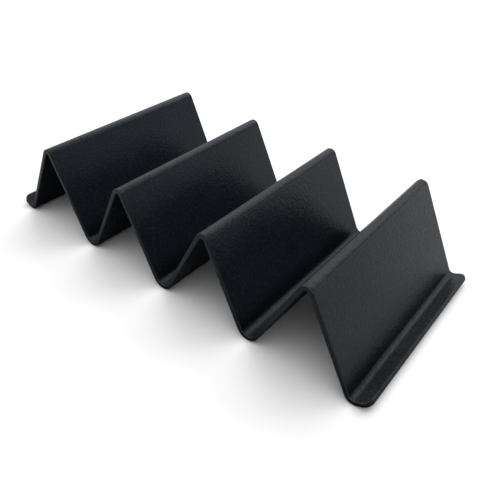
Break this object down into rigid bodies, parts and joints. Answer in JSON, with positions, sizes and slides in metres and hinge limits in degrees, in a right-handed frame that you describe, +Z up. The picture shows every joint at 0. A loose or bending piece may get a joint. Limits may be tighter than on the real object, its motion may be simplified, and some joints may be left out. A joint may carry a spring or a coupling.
{
  "type": "taco holder",
  "caption": "Free-standing serving rack made of a folded wall: rounded ridges with V-shaped troughs between them hold filled shells upright, and each end has a turned-up foot.",
  "frame": {"origin": "on the table, under the middle of the holder", "axes": "+X along the row of ridges, +Y along the folds, +Z up from the table"},
  "size_m": [0.26, 0.119, 0.0537],
  "materials": {
    "black_plastic": "satin black, fine moulded grain"
  },
  "bodies": {
    "root": {"taco_holder": "black_plastic"}
  },
  "joints": []
}
